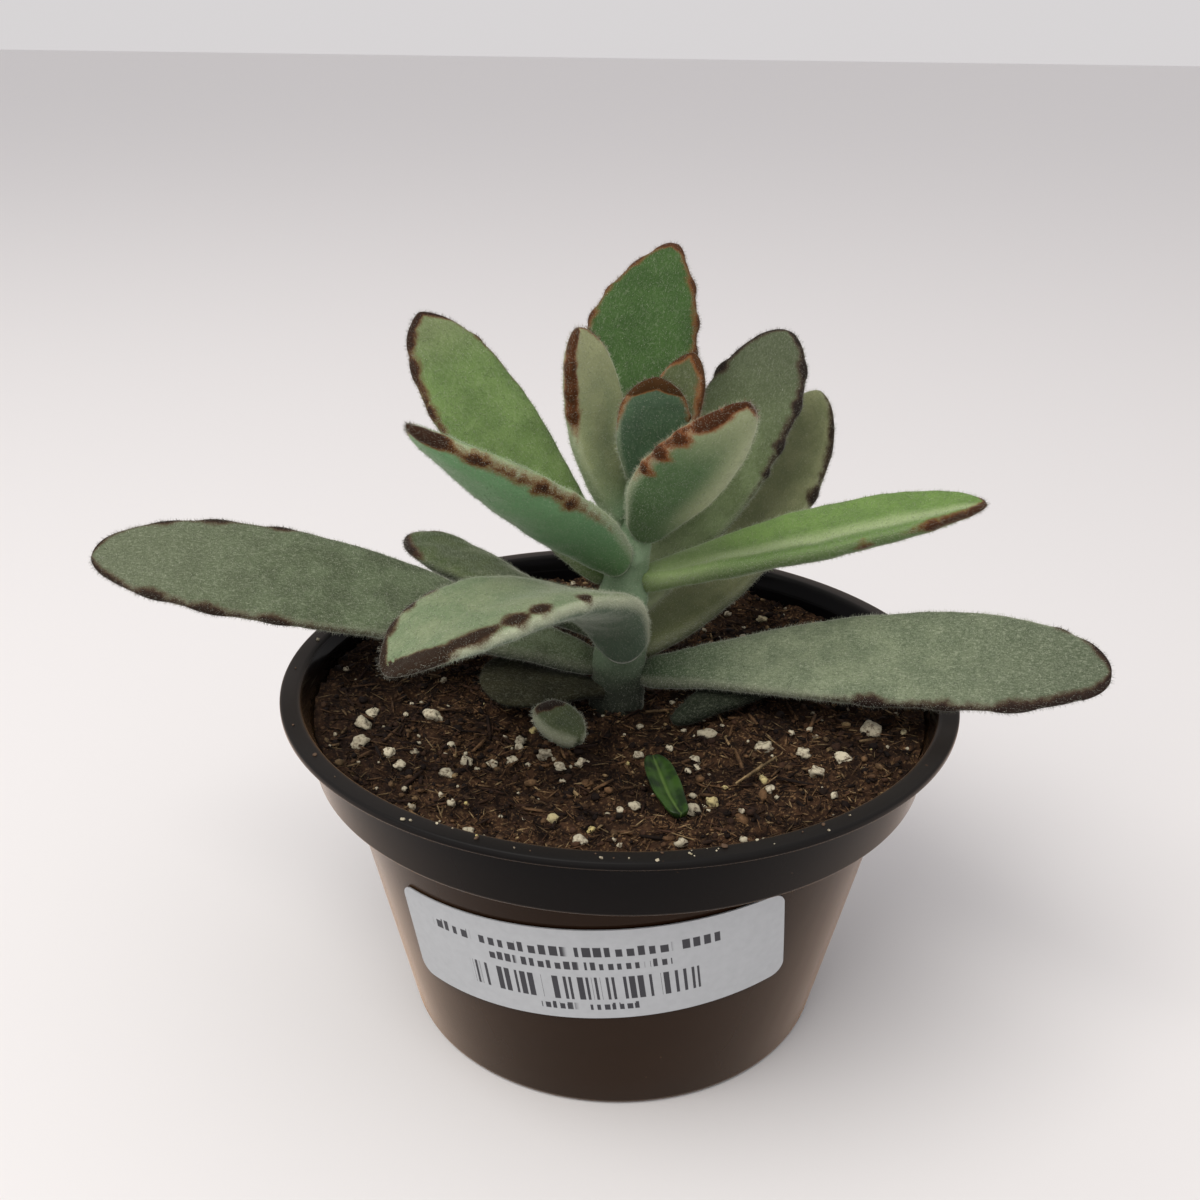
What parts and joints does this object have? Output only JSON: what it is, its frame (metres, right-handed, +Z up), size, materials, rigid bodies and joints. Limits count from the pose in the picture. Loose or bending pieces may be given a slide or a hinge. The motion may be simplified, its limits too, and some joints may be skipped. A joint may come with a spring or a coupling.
{
  "type": "potted panda plant",
  "caption": "Small succulent with thick felted leaves edged in rust brown teeth, growing in a tapered black plastic nursery pot with a plain paper label.",
  "frame": {"origin": "middle of the pot's flat base, on the surface that it stands on", "axes": "+Z up along the pot's axis; the label is on the -Y side, and the two long low leaves reach out along -X and +X"},
  "size_m": [0.1302, 0.0888, 0.0992],
  "materials": {
    "pot_plastic": "thin glossy black moulded plastic",
    "label_paper": "matte white paper",
    "potting_mix": "moist crumbly peat and bark with white perlite",
    "stem_felt": "pale blue green felted stem",
    "old_leaf": "grey green felt with blackish brown marks on the margin",
    "grown_leaf": "pale olive felt with dark brown marks on the margin",
    "green_leaf": "green felt with rust brown marks on the margin",
    "young_leaf": "dense blue green felt with a rust orange margin",
    "shed_leaf": "dull withered felt",
    "green_scrap": "smooth moist green skin"
  },
  "bodies": {
    "root": {"pot": "pot_plastic", "label": "label_paper", "soil": "potting_mix", "stem": "stem_felt", "leaf_low_left": "old_leaf", "leaf_low_right": "old_leaf", "leaf_back_left_low": "old_leaf", "leaf_front_left": "grown_leaf", "leaf_right_back_inner": "grown_leaf", "leaf_right_back_outer": "grown_leaf", "leaf_mid_right": "green_leaf", "leaf_upper_left_front": "green_leaf", "leaf_upper_left_back": "green_leaf", "leaf_top_back": "green_leaf", "leaf_crown_left": "young_leaf", "leaf_crown_centre": "young_leaf", "leaf_crown_front": "young_leaf", "leaf_crown_back": "young_leaf", "leaf_under_left": "shed_leaf", "leaf_fallen": "shed_leaf", "leaf_shed_small": "shed_leaf", "leaf_scrap_green": "green_scrap"}
  },
  "joints": []
}
